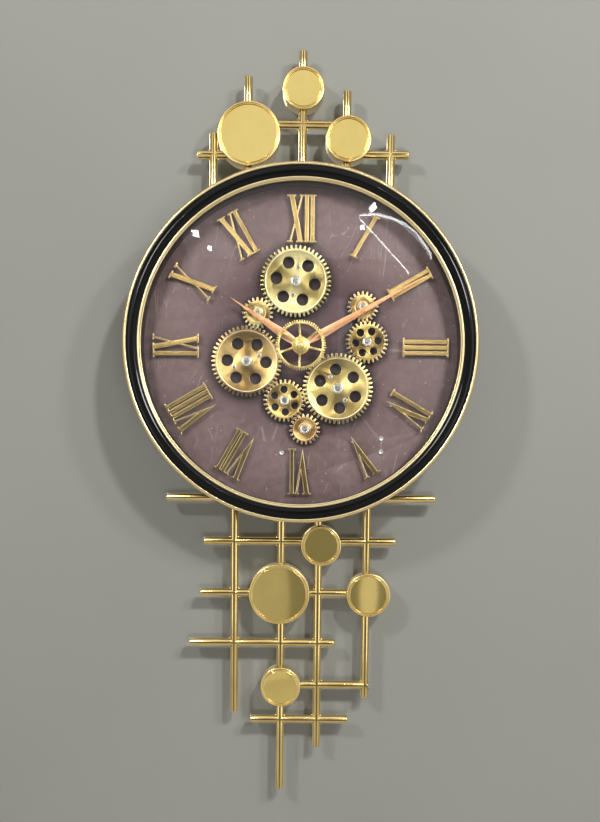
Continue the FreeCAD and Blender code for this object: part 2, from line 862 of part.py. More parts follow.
export("case_ring", [case_ring()])
export("back_panel", [back_panel()])
export("bezel_outer_ring", [bezel_outer_ring()])
export("bezel_band", [bezel_band()])
export("bezel_inner_ring", [bezel_inner_ring()])
export("glass_dome", [glass_dome()])
export("glass_gasket", [glass_gasket()])
export("dial_plate", [dial_plate(post_places, hour_bush_bore + bush_wall,
                                 drive_bush_bore + bush_wall)])
export("dial_screws", [dial_screw(x, z) for x, z in dial_screw_places()])
export("dial_spacers", [dial_spacer(x, z) for x, z in dial_screw_places()])

hour_words = (("one", "I"), ("two", "II"), ("three", "III"), ("four", "IV"), ("five", "V"),
              ("six", "VI"), ("seven", "VII"), ("eight", "VIII"), ("nine", "IX"), ("ten", "X"),
              ("eleven", "XI"), ("twelve", "XII"))
all_posts = []
for index, (word, text) in enumerate(hour_words):
    figure, posts = hour_shapes(text, index + 1)
    all_posts += posts
    export("hour_" + word, [figure])
export("hour_posts", all_posts)

for name, (x, z, teeth, phase, dress) in train.items():
    export(name, [gear(name, x, z, teeth, phase, dress)])
    if name in screw_start:
        export(name + "_screws", [gear_screw(sx, sz)
                                  for sx, sz in gear_screw_places(name, x, z, teeth)])
export("gear_posts", [gear_post(x, z) for x, z in post_places])
caps = {}
for name, (x, z, teeth, phase, dress) in train.items():
    caps[name] = domed_cap(dress_shares[dress][3] * tip_radius(teeth), x, z)
export("post_caps", [caps[name] for name in fixed_gears])
export("drive_cap", [caps["drive_gear"]])
export("drive_shaft", [drive_shaft()])

hour_outer = hour_bush_bore + bush_wall
drive_outer = drive_bush_bore + bush_wall
knob_bore = rod(knob_stem_radius + running_gap, module_back - overrun,
                module_back + knob_stem_length + overrun, knob_offset, knob_offset)
export("movement", [battery_module(0.0, 0.0, hour_outer).cut(knob_bore)])
export("gear_motor", [battery_module(drive_x, drive_z, drive_outer)])
export("cells", [cell(0.0, 0.0), cell(drive_x, drive_z)])
export("threaded_bushes", [
    threaded_bush(hour_bush_bore, 0.0, 0.0, dial_front + bush_reach),
    threaded_bush(drive_bush_bore, drive_x, drive_z, dial_front + nut_height),
])
export("bush_nuts", [bush_nut(hour_bush_bore, 0.0, 0.0),
                     bush_nut(drive_bush_bore, drive_x, drive_z)])
export("set_knob", [set_knob()])
export("hour_hand", [hand(hour_hand_length, hour_hand_width, "hour",
                          hour_hub_radius, hour_pipe_radius, hour_hand_turn, hour_hand_back)])
export("minute_hand", [hand(minute_hand_length, minute_hand_width, "minute",
                            minute_hub_radius, minute_pipe_radius, minute_hand_turn,
                            minute_hand_back)])
export("hour_pipe", [collar(hour_pipe_radius, minute_pipe_radius + running_gap,
                          module_back + hour_pipe_inset, hour_hand_front)])
export("minute_pipe", [collar(minute_pipe_radius, seconds_radius + running_gap,
                            module_back + minute_pipe_inset, minute_hand_front)])
export("centre_wheel", [centre_wheel()])
export("seconds_arbor", [seconds_arbor()])

export("upper_uprights", uprights(upper_upright_shares, 1, upper_cups))
export("upper_crossbars", crossbars(upper_crossbar_shares, upper_upright_shares, 1, upper_cups))
export("lower_uprights", uprights(lower_upright_shares, -1, lower_cups))
export("lower_crossbars", crossbars(lower_crossbar_shares, lower_upright_shares, -1, lower_cups))
export("upper_cups", [cup(*place) for place in cup_places(upper_cups)])
export("upper_mirrors", [mirror(*place) for place in cup_places(upper_cups)])
export("lower_cups", [cup(*place) for place in cup_places(lower_cups)])
export("lower_mirrors", [mirror(*place) for place in cup_places(lower_cups)])
export("hanger_plate", [hanger_plate()])
export("back_screws", back_screws())
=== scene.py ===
# %% [markdown]
# # A wall clock with an open gear train
# The clock hangs on a wall. A round case with two gold rings and a gloss black band holds a
# dial, a train of brass gears and two hands behind a domed glass. Gold bars with round gold
# mirrors stand above and below the case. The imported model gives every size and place, so this
# lesson adds the finish: rounded edges, polished and brushed metal, lacquer, paint and light.

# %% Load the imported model
import json
import math

import bpy
from mathutils import Matrix, Vector

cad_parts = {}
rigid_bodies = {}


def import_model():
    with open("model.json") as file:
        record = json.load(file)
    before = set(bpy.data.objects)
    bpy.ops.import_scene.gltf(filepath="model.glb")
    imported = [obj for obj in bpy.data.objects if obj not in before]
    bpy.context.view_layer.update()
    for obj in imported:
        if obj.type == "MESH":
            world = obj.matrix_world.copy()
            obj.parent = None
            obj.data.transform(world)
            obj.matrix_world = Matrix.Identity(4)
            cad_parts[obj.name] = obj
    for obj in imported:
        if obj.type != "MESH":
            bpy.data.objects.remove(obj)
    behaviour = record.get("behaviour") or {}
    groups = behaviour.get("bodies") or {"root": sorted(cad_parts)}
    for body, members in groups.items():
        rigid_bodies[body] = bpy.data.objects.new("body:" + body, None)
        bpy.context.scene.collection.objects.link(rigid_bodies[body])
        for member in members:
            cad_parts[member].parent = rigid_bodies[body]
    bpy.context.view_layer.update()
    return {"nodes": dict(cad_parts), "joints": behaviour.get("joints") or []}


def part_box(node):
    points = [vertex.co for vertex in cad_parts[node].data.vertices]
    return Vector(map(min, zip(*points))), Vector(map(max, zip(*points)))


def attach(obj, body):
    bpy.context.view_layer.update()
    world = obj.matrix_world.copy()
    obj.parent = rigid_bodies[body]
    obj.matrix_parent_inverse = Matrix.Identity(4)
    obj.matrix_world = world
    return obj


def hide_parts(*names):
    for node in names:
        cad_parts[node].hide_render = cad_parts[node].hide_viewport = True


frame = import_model()

# %% [markdown]
# The model's joints give the centre of the dial and of each gear. Every size below is in
# millimetres times one value.

# %% Places that come from the model
mm = 0.001
joint_place = {joint["name"]: Vector(joint["pos_m"]) for joint in frame["joints"]}
axis = joint_place["minute_turn"]
bezel_low, bezel_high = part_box("bezel_outer_ring")
bezel_radius = (bezel_high.x - bezel_low.x) / 2
print("dial axis", tuple(round(v, 4) for v in axis), "bezel radius", round(bezel_radius, 4))

# %% [markdown]
# A colour picker shows numbers from 0 to 255, while a shader wants linear light. One helper
# turns the first into the second, and another makes a colour darker or lighter.


# %% Colours as they look
def tone(red, green, blue):
    def linear(value):
        share = value / 255
        return share / 12.92 if share <= 0.04045 else ((share + 0.055) / 1.055) ** 2.4

    return linear(red), linear(green), linear(blue), 1.0


def shaded(colour, share):
    return tuple(value * share for value in colour[:3]) + (1.0,)


# %% [markdown]
# The camera stands a little below the dial's axis, so the pieces above show their undersides.
# The vertical shift only frames the picture, as a view camera's rising front does.

# %% The camera
photo_height = 822
focal_pixels = 814
axis_row = 514.8
camera_offset = 1.2 * mm
camera_distance = 1215 * mm
camera_drop = 156 * mm
camera_tilt = math.radians(4.1)
camera_roll = math.radians(0.52)

camera_data = bpy.data.cameras.new("camera")
camera_data.sensor_fit = "VERTICAL"
camera_data.lens = camera_data.sensor_height * focal_pixels / photo_height
camera_data.shift_y = (axis_row - photo_height / 2) / photo_height
camera = bpy.data.objects.new("camera", camera_data)
bpy.context.scene.collection.objects.link(camera)
place = Matrix.Translation((camera_offset, -camera_distance, axis.z - camera_drop))
turn = Matrix.Rotation(math.pi / 2 - camera_tilt, 4, "X")
camera.matrix_world = place @ turn @ Matrix.Rotation(camera_roll, 4, "Z")
bpy.context.scene.camera = camera
print("lens", round(camera_data.lens, 2), "mm")

# %% [markdown]
# Short helpers add a shader node, set it up and feed its inputs: a socket becomes a link, and
# any other value is set.


# %% A helper for shader nodes
def feed(tree, socket, value):
    if isinstance(value, bpy.types.NodeSocket):
        tree.links.new(value, socket)
    else:
        socket.default_value = value


def add_node(tree, kind, settings=None, inputs=None):
    node = tree.nodes.new("ShaderNode" + kind)
    for key, value in (settings or {}).items():
        setattr(node, key, value)
    for key, value in (inputs or {}).items():
        feed(tree, node.inputs[key], value)
    return node


def combine(tree, operation, first, second=0.5):
    settings = {"operation": operation}
    return add_node(tree, "Math", settings, {0: first, 1: second}).outputs[0]


def times(tree, first, second):
    return combine(tree, "MULTIPLY", first, second)


def vector_math(tree, operation, *values):
    settings = {"operation": operation}
    return add_node(tree, "VectorMath", settings, dict(enumerate(values))).outputs


def mixed(tree, share, first, second):
    inputs = {0: share, 6: first, 7: second}
    return add_node(tree, "Mix", {"data_type": "RGBA"}, inputs).outputs[2]


def remapped(tree, value, low, high, to_low=0.0, to_high=1.0):
    settings = {"interpolation_type": "SMOOTHSTEP"}
    inputs = {"Value": value, "From Min": low, "From Max": high, "To Min": to_low,
              "To Max": to_high}
    return add_node(tree, "MapRange", settings, inputs).outputs[0]


def noise(tree, vector, scale, detail, **inputs):
    inputs.update({"Vector": vector, "Scale": scale, "Detail": detail})
    return add_node(tree, "TexNoise", None, inputs).outputs[0]


def cleared(tree, shader, share):
    clear = add_node(tree, "BsdfTransparent")
    inputs = {0: share, 1: shader.outputs[0], 2: clear.outputs[0]}
    through = add_node(tree, "MixShader", None, inputs)
    tree.links.new(through.outputs[0], tree.nodes["Material Output"].inputs["Surface"])


# %% [markdown]
# The clock hangs on a pale wall, with a pale floor far below. The wall is a single sheet. It is
# clear to shadow rays, from behind, and to short rays that leave the clock's own back, so the
# back can be looked at too. Both sheets are stage and no part of the clock.

# %% The wall and the floor
wall_gap = 1.5 * mm
wall_reach = 3000 * mm
back_gap = 40 * mm
floor_drop = 1150 * mm


def stage_paint(name, colour, see_through):
    material = bpy.data.materials.new(name)
    material.use_nodes = True
    tree = material.node_tree
    paint = tree.nodes["Principled BSDF"]
    place = add_node(tree, "TexCoord").outputs["Object"]
    cloud = remapped(tree, noise(tree, place, 1.3, 3.0), 0.3, 0.7)
    softened = mixed(tree, cloud, colour, shaded(colour, 0.93))
    tree.links.new(softened, paint.inputs["Base Color"])
    paint.inputs["Roughness"].default_value = 0.85
    paint.inputs["Specular IOR Level"].default_value = 0.1
    if see_through:
        path = add_node(tree, "LightPath").outputs
        behind = add_node(tree, "NewGeometry").outputs["Backfacing"]
        short = combine(tree, "LESS_THAN", path["Ray Length"], back_gap)
        bounced = combine(tree, "SUBTRACT", 1.0, path["Is Camera Ray"])
        near = times(tree, short, bounced)
        light = combine(tree, "MAXIMUM", path["Is Shadow Ray"], near)
        cleared(tree, paint, combine(tree, "MAXIMUM", light, behind))
    return material


def sheet_of_stage(name, location, rotation, material):
    bpy.ops.object.select_all(action="DESELECT")
    bpy.ops.mesh.primitive_plane_add(size=2 * wall_reach, location=location, rotation=rotation)
    sheet = bpy.context.object
    sheet.name = name
    sheet.data.materials.append(material)
    return sheet


wall_colour = tone(127, 127, 121)
floor_colour = tone(222, 220, 214)
wall = sheet_of_stage("wall", (0, wall_gap, axis.z), (math.pi / 2, 0, 0),
                      stage_paint("wall paint", wall_colour, True))
floor = sheet_of_stage("floor", (0, 0, axis.z - floor_drop), (0, 0, 0),
                       stage_paint("floor paint", floor_colour, False))
print("stage", wall.name, floor.name)

# %% [markdown]
# Polished metal shows what surrounds it. Soft boxes all round are there for metal and glass only,
# and give the long bright lines on the bars. Three high wall lamps and a large low one give the
# wall its shadows. They would hide half the dial in the shadow of its ring, so they light the
# wall only, and two softer lamps light the clock. Three weak boxes in front leave gaps whose
# edges cross the polished mirrors. Two tiny boxes put sparks on the glass, a thin tube draws a
# curved line on it, and one lamp behind the wall lights the back.

# %% The lights
def area_lamp(name, spot, size, power):
    lamp_data = bpy.data.lights.new(name, "AREA")
    lamp_data.shape = "RECTANGLE"
    lamp_data.size, lamp_data.size_y = size
    lamp_data.energy = power
    lamp = bpy.data.objects.new(name, lamp_data)
    bpy.context.scene.collection.objects.link(lamp)
    lamp.visible_diffuse = not name.endswith(("box", "tube"))
    lamp.location = axis + spot
    return lamp


lamp_table = {
    "wall key": ((1900, -2600, 2850), (330, 330), 156.0),
    "wall second": ((-1950, -1600, 1750), (260, 260), 54.0),
    "wall third": ((2150, -1600, 1700), (260, 260), 46.0),
    "wall wash": ((500, -2200, -1300), (1200, 1200), 50.0),
    "soft key": ((1500, -2500, 1000), (600, 600), 46.0),
    "soft second": ((-1300, -2500, 1100), (600, 600), 30.0),
    "behind": ((-1500, 2600, 1200), (900, 900), 34.0),
    "left box": ((-1650, -1150, 0), (700, 1900), 7.6),
    "right box": ((1650, -1150, 0), (700, 1900), 9.6),
    "top box": ((0, -1150, 1400), (2200, 1950), 10.5),
    "low box": ((0, -1300, -1500), (2000, 600), 6.0),
    "front left box": ((-775, -2100, -250), (1530, 1700), 2.15),
    "front right box": ((1000, -2100, -250), (1080, 1700), 2.3),
    "front slit box": ((285, -2100, -150), (90, 1500), 0.24),
    "left star box": ((-472, -1470, 683), (22, 22), 0.3),
    "right star box": ((308, -1470, 796), (22, 22), 0.3),
}
for name, (spot, size, power) in lamp_table.items():
    lamp = area_lamp(name, Vector(spot) * mm, (size[0] * mm, size[1] * mm), power)
    lamp.rotation_euler = (axis - lamp.location).to_track_quat("-Z", "Y").to_euler()

tube_start = Vector((288, -1470, 851)) * mm
tube_end = Vector((548, -1470, 564)) * mm
tube_size = ((tube_end - tube_start).length, 7 * mm)
tube = area_lamp("tube", (tube_start + tube_end) / 2, tube_size, 0.3)
lengthways = (tube_end - tube_start).normalized()
upward = (tube.location - axis).cross(lengthways).normalized()
outward = lengthways.cross(upward)
tube.rotation_euler = Matrix((lengthways, upward, outward)).transposed().to_euler()

stage_only = bpy.data.collections.new("stage only")
clock_only = bpy.data.collections.new("clock only")
stage_only.objects.link(wall)
clock_only.objects.link(wall)
clock_only.collection_objects[0].light_linking.link_state = "EXCLUDE"
for name in lamp_table:
    linking = bpy.data.objects[name].light_linking
    if name.startswith("wall"):
        linking.receiver_collection = stage_only
    elif name.startswith("soft"):
        linking.receiver_collection = clock_only

world = bpy.data.worlds.new("room")
bpy.context.scene.world = world
world.use_nodes = True
room_light = world.node_tree.nodes["Background"]
room_light.inputs["Color"].default_value = tone(190, 190, 188)
room_light.inputs["Strength"].default_value = 0.6
bpy.context.scene.view_settings.view_transform = "Standard"
print("lamps", len(bpy.data.lights))

# %% [markdown]
# ## Effects that several finishes share
# Brushing, cloudy colour, tiny specks and fine scratches come back on many surfaces. Each is a
# node group, built once and placed in each material with its own values. The groups give out
# colours, masks and values only, and the shader stays in the material.


# %% A helper for node groups
def new_group(name, inputs, outputs):
    tree = bpy.data.node_groups.new(name, "ShaderNodeTree")
    for label, kind in inputs:
        tree.interface.new_socket(label, in_out="INPUT", socket_type="NodeSocket" + kind)
    for label, kind in outputs:
        tree.interface.new_socket(label, in_out="OUTPUT", socket_type="NodeSocket" + kind)
    given = tree.nodes.new("NodeGroupInput").outputs
    return tree, given, tree.nodes.new("NodeGroupOutput").inputs


def use_group(tree, group, **values):
    node = tree.nodes.new("ShaderNodeGroup")
    node.node_tree = group
    for key, value in values.items():
        feed(tree, node.inputs[key.replace("_", " ")], value)
    return node


# %% Straight brushing
brushing, given, result = new_group(
    "brushing", [("Place", "Vector"), ("Stretch", "Vector"), ("Fineness", "Float")],
    [("Streak", "Float"), ("Height", "Float")])
stretched = vector_math(brushing, "MULTIPLY", given["Place"], given["Stretch"])[0]
streaks = noise(brushing, stretched, given["Fineness"], 4.0, Roughness=0.65)
brushing.links.new(remapped(brushing, streaks, 0.32, 0.68), result["Streak"])
brushing.links.new(streaks, result["Height"])

# %% [markdown]
# A disc brushed on a turntable carries fine rings, and light spreads over it in wedges, which the
# gears paint into their colour as a painted reflection. A point's distance from the centre gives
# the rings, and its direction gives the wedges.

# %% Turned marks round a centre
turning, given, result = new_group(
    "turned marks", [("Place", "Vector"), ("Centre", "Vector"), ("Fineness", "Float"),
                     ("Wedge turn", "Float")],
    [("Ring", "Float"), ("Wedge", "Float"), ("Distance", "Float")])
from_centre = vector_math(turning, "SUBTRACT", given["Place"], given["Centre"])[0]
flat = vector_math(turning, "MULTIPLY", from_centre, (1.0, 0.0, 1.0))[0]
distance = vector_math(turning, "LENGTH", flat)["Value"]
scaled = times(turning, distance, given["Fineness"])
rings = add_node(turning, "TexNoise", {"noise_dimensions": "1D"},
                 {"W": scaled, "Scale": 1.0, "Detail": 3.0, "Roughness": 0.7})
split = add_node(turning, "SeparateXYZ", None, {0: flat})
# The wedges are a mask for the gears' painted reflection.
angle = combine(turning, "ARCTAN2", split.outputs["Z"], split.outputs["X"])
off_wedge = combine(turning, "SUBTRACT", angle, given["Wedge turn"])
bow_tie = combine(turning, "COSINE", times(turning, off_wedge, 2.0))
wobble = add_node(turning, "TexNoise", {"noise_dimensions": "1D"},
                  {"W": angle, "Scale": 2.3, "Detail": 2.0})
wedge = combine(turning, "ADD", bow_tie, combine(turning, "SUBTRACT", wobble.outputs[0], 0.5))
turning.links.new(remapped(turning, rings.outputs[0], 0.3, 0.7), result["Ring"])
turning.links.new(remapped(turning, wedge, -0.9, 1.0), result["Wedge"])
turning.links.new(distance, result["Distance"])

# %% Cloudy colour
clouding, given, result = new_group(
    "clouding", [("Place", "Vector"), ("Scale", "Float"), ("Low", "Color"), ("High", "Color")],
    [("Color", "Color"), ("Cloud", "Float")])
cloud = noise(clouding, given["Place"], given["Scale"], 5.0, Roughness=0.55)
cloud_mask = remapped(clouding, cloud, 0.33, 0.67)
clouding.links.new(mixed(clouding, cloud_mask, given["Low"], given["High"]),
                   result["Color"])
clouding.links.new(cloud_mask, result["Cloud"])

# %% [markdown]
# Specks are the middles of scattered Voronoi cells, and each cell's colour decides whether it is
# kept. Scratches are the cracks of a stretched Voronoi, broken up by a noise.

# %% Specks and scratches
specking, given, result = new_group(
    "specks", [("Place", "Vector"), ("Scale", "Float"), ("Size", "Float")], [("Mask", "Float")])
cells = add_node(specking, "TexVoronoi", None, {
    "Vector": given["Place"], "Scale": given["Scale"]})
size_end = times(specking, given["Size"], 1.6)
dot = remapped(specking, cells.outputs["Distance"], size_end, given["Size"])
some = add_node(specking, "SeparateColor", None, {0: cells.outputs["Color"]})
kept = combine(specking, "GREATER_THAN", some.outputs[0], 0.72)
specking.links.new(times(specking, dot, kept), result["Mask"])

scratching, given, result = new_group(
    "scratches", [("Place", "Vector"), ("Stretch", "Vector"), ("Scale", "Float"),
                  ("Width", "Float")], [("Mask", "Float")])
pulled = vector_math(scratching, "MULTIPLY", given["Place"], given["Stretch"])[0]
bend = add_node(scratching, "TexNoise", None, {"Vector": pulled, "Scale": 3.0})
bent = vector_math(scratching, "ADD", pulled, bend.outputs["Color"])[0]
cracks = add_node(scratching, "TexVoronoi", {"feature": "DISTANCE_TO_EDGE"},
                  {"Vector": bent, "Scale": given["Scale"]})
line = remapped(scratching, cracks.outputs["Distance"], given["Width"], 0.0)
shown = remapped(scratching, noise(scratching, given["Place"], 38.0, 2.0), 0.52, 0.64)
scratching.links.new(times(scratching, line, shown), result["Mask"])

# %% [markdown]
# Handling polishes edges first, and rounded edges are painted lighter, partly for that polish and
# partly as a painted highlight where bevels catch the light. The surface direction tells a flat
# face that looks forward or back from a wall that stands square to it, and a rounded edge lies
# between the two.

# %% Edges: polish and painted highlight
edging, given, result = new_group("edges", [("Direction", "Vector")], [("Mask", "Float")])
facing = add_node(edging, "SeparateXYZ", None, {0: given["Direction"]})
forward = combine(edging, "ABSOLUTE", facing.outputs["Y"])
off_wall = remapped(edging, forward, 0.1, 0.35)
off_face = remapped(edging, forward, 0.985, 0.93)
edging.links.new(times(edging, off_wall, off_face), result["Mask"])
print("node groups", len(bpy.data.node_groups))


# %% [markdown]
# ## Finishes
# Every material starts as a Principled shader that reads Object coordinates. More helpers drive
# its colour, roughness and bump.


# %% A helper for materials
def new_finish(name, roughness, metallic=0.0):
    material = bpy.data.materials.new(name)
    material.use_nodes = True
    tree = material.node_tree
    shader = tree.nodes["Principled BSDF"]
    shader.inputs["Roughness"].default_value = roughness
    shader.inputs["Metallic"].default_value = metallic
    place = add_node(tree, "TexCoord").outputs["Object"]
    return material, tree, shader, place


def roughen(shader, mask, low, high):
    tree = shader.id_data
    tree.links.new(remapped(tree, mask, 0.0, 1.0, low, high), shader.inputs["Roughness"])


def emboss(shader, height, depth, strength):
    tree = shader.id_data
    inputs = {"Height": height, "Distance": depth, "Strength": strength}
    bump = add_node(tree, "Bump", None, inputs)
    tree.links.new(bump.outputs[0], shader.inputs["Normal"])


def paint_with(shader, colour):
    shader.id_data.links.new(colour, shader.inputs["Base Color"])


# Edges are painted lighter: a painted highlight, with some polish from handling.
def edged(tree, colour, edge_colour, share=1.0):
    direction = add_node(tree, "TexCoord").outputs["Normal"]
    edge_polish_and_highlight = use_group(tree, edging, Direction=direction)
    return mixed(tree, times(tree, edge_polish_and_highlight.outputs["Mask"], share), colour, edge_colour)


def clouds(tree, place, scale, low, high):
    return use_group(tree, clouding, Place=place, Scale=scale, Low=low, High=high)


def brushed(tree, place, stretch, fineness):
    return use_group(tree, brushing, Place=place, Stretch=stretch, Fineness=fineness)


# %% [markdown]
# Gold plate is a polished metal whose colour shifts a little. Fine wiping marks vary its
# roughness, and small dull specks are left from handling. Rings, bars, cups and mirrors use it
# with their own values, and each bar has a thin dark line painted along its front, a painted
# reflection of the darkness in front of it.


# %% Gold plate
def gold_plate(name, low, high, roughness, wipe, wipe_fineness, relief=0.35, front_reflection=0.0):
    material, tree, shader, place = new_finish(name, roughness, 1.0)
    colour = clouds(tree, place, 22.0, low, high)
    wiping = brushed(tree, place, wipe, wipe_fineness)
    specks = use_group(tree, specking, Place=place, Scale=260.0, Size=0.10)
    dulled = mixed(tree, times(tree, specks.outputs[0], 0.35),
                   colour.outputs["Color"], shaded(low, 0.55))
    # Painted reflection: a thin dark line where the surface looks straight forward.
    direction = add_node(tree, "TexCoord").outputs["Normal"]
    turned_to = add_node(tree, "SeparateXYZ", None, {0: direction}).outputs["Y"]
    painted_front_reflection = times(tree, remapped(tree, turned_to, -0.972, -0.993), front_reflection)
    paint_with(shader, mixed(tree, painted_front_reflection, dulled, tone(74, 54, 28)))
    roughen(shader, wiping.outputs["Streak"], roughness * 0.92, roughness * 1.12)
    emboss(shader, wiping.outputs["Height"], 0.004 * mm, relief)
    return material


lattice_gold = gold_plate("lattice gold", tone(214, 188, 124), tone(228, 203, 138), 0.2,
                          (1.0, 1.0, 1.0), 900.0, front_reflection=0.85)
trim_gold = gold_plate("trim gold", tone(228, 207, 158), tone(238, 218, 170), 0.24,
                       (1.0, 1.0, 1.0), 900.0)
cup_gold = gold_plate("cup gold", tone(226, 200, 132), tone(238, 214, 150), 0.24,
                      (1.0, 0.3, 1.0), 700.0)
mirror_gold = gold_plate("mirror gold", tone(214, 190, 116), tone(220, 196, 122), 0.06,
                         (1.0, 1.0, 0.3), 500.0, relief=0.02)


# %% [markdown]
# Black lacquer is a dark base under a clear coat, with a few pale specks of dust. The band is
# glossy, the case ring is satin, and the back panel is bare brown board with a faint fibre.


# %% Lacquer and board
def lacquer(name, low, high, roughness, coat, dust):
    material, tree, shader, place = new_finish(name, roughness)
    colour = clouds(tree, place, 9.0, low, high)
    specks = use_group(tree, specking, Place=place, Scale=320.0, Size=0.07)
    dusty = mixed(tree, times(tree, specks.outputs[0], dust),
                  colour.outputs["Color"], tone(120, 116, 110))
    paint_with(shader, dusty)
    roughen(shader, colour.outputs["Cloud"], roughness * 0.8, roughness * 1.25)
    emboss(shader, noise(tree, place, 160.0, 2.0), 0.03 * mm, 0.25)
    shader.inputs["Coat Weight"].default_value = coat
    shader.inputs["Coat Roughness"].default_value = 0.04
    shader.inputs["Specular IOR Level"].default_value = 0.12
    return material


band_black = lacquer("band lacquer", tone(7, 7, 7), tone(10, 10, 10), 0.14, 0.14, 0.2)
case_black = lacquer("case lacquer", tone(44, 38, 36), tone(54, 47, 44), 0.42, 0.1, 0.2)

panel_board, tree, shader, place = new_finish("panel board", 0.75)
board_light = tone(124, 106, 86)
colour = clouds(tree, place, 30.0, tone(104, 88, 70), board_light)
fibre = brushed(tree, place, (1.0, 1.0, 0.12), 420.0)
grain = mixed(tree, times(tree, fibre.outputs["Streak"], 0.4), colour.outputs["Color"],
              shaded(board_light, 1.6))
paint_with(shader, grain)
roughen(shader, fibre.outputs["Streak"], 0.65, 0.85)
emboss(shader, fibre.outputs["Height"], 0.15 * mm, 0.5)

# %% [markdown]
# The dial's satin paint is mauve and cloudy, with faint upright strokes, pale scratches and
# flakes. It is deeper in the middle, and painted shade darkens it under and around each gear.

# %% Dial paint
dial_paint, tree, shader, place = new_finish("dial paint", 0.5)
shader.inputs["Specular IOR Level"].default_value = 0.25
patches = clouds(tree, place, 11.0, tone(112, 91, 90), tone(126, 103, 102))
mottle = clouds(tree, place, 95.0, tone(107, 87, 87), tone(136, 112, 110))
sponged = mixed(tree, 0.42, patches.outputs["Color"], mottle.outputs["Color"])
hatching = brushed(tree, place, (1.0, 1.0, 0.06), 330.0)
hatched = mixed(tree, times(tree, hatching.outputs["Streak"], 0.16), sponged,
                tone(104, 82, 82))
nicks = use_group(tree, scratching, Place=place, Stretch=(1.0, 1.0, 0.22), Scale=26.0,
                  Width=0.022)
scratched = mixed(tree, times(tree, nicks.outputs[0], 0.45), hatched,
                  tone(186, 172, 166))
flakes = use_group(tree, specking, Place=place, Scale=150.0, Size=0.085)
flaked = mixed(tree, times(tree, flakes.outputs[0], 0.8), scratched,
               tone(214, 206, 200))
inner = use_group(tree, turning, Place=place, Centre=axis, Fineness=400.0, Wedge_turn=0.0)
middle_reach, middle_full = 165 * mm, 85 * mm
near_middle = remapped(tree, inner.outputs["Distance"], middle_reach, middle_full)
toned = mixed(tree, times(tree, near_middle, 0.9), flaked, tone(82, 57, 62))
# Painted shade under and around each gear.
shade_reach, shade_full = 1.36, 0.95
for joint, spot in joint_place.items():
    if "wheel" not in joint:
        continue
    radius = 22 if "small" in joint else 30 if "middle" in joint else 50
    under = use_group(tree, turning, Place=place, Centre=spot, Fineness=400.0, Wedge_turn=0.0)
    shade = remapped(tree, under.outputs["Distance"], radius * shade_reach * mm,
                     radius * shade_full * mm)
    toned = mixed(tree, times(tree, shade, 0.85), toned, tone(42, 29, 32))
paint_with(shader, toned)
roughen(shader, mottle.outputs["Cloud"], 0.42, 0.6)
emboss(shader, hatching.outputs["Height"], 0.05 * mm, 0.6)


# %% [markdown]
# The hours are brushed brass with edges painted pale, partly polish and partly a painted
# highlight, and they grow darker towards the bottom. The hands are copper, satin and warmer.


# %% Brushed brass and copper
hour_low = axis.z - 190 * mm
hour_high = axis.z + 150 * mm


def brushed_metal(name, low, high, roughness, stretch, fineness, depth, edge, bottom_darkening=0.0):
    material, tree, shader, place = new_finish(name, roughness, 1.0)
    colour = clouds(tree, place, 40.0, low, high)
    strokes = brushed(tree, place, stretch, fineness)
    marked = mixed(tree, times(tree, strokes.outputs["Streak"], 0.35),
                   colour.outputs["Color"], shaded(low, 0.6))
    # The colour darkens towards the bottom, by height.
    rise = add_node(tree, "SeparateXYZ", None, {0: place}).outputs["Z"]
    towards_bottom = times(tree, remapped(tree, rise, hour_high, hour_low), bottom_darkening)
    darker = shaded(low, 0.14)
    # Edges are painted pale: a painted highlight, with some polish.
    paint_with(shader, edged(tree, mixed(tree, towards_bottom, marked, darker), edge, 0.75))
    roughen(shader, strokes.outputs["Streak"], roughness * 0.8, roughness * 1.3)
    emboss(shader, strokes.outputs["Height"], depth, 0.7)
    return material


hour_gold = brushed_metal("hour gold", tone(156, 128, 76), tone(178, 150, 94), 0.36,
                          (0.5, 1.0, 0.5), 900.0, 0.03 * mm, tone(248, 228, 172), bottom_darkening=0.8)
hand_copper = brushed_metal("hand copper", tone(194, 136, 94), tone(212, 158, 116), 0.34,
                            (0.4, 1.0, 1.0), 700.0, 0.02 * mm, tone(255, 222, 190))
wheel_gold = brushed_metal("wheel gold", tone(184, 158, 94), tone(204, 180, 114), 0.3,
                           (1.0, 1.0, 1.0), 800.0, 0.02 * mm, tone(255, 240, 196))
pin_steel = brushed_metal("pin steel", tone(176, 174, 170), tone(206, 204, 200), 0.34,
                          (1.0, 0.2, 1.0), 600.0, 0.02 * mm, tone(228, 227, 224))


# %% [markdown]
# Each gear's face is turned about its own shaft, and the light that spreads over it in a bow tie
# is a painted reflection in its colour. The wedge turn says where the light part of the bow tie
# lies, and darker tarnish sits near the hub. A pale ring at the edge of the recess is a painted
# highlight, and the edges are painted pale as well.


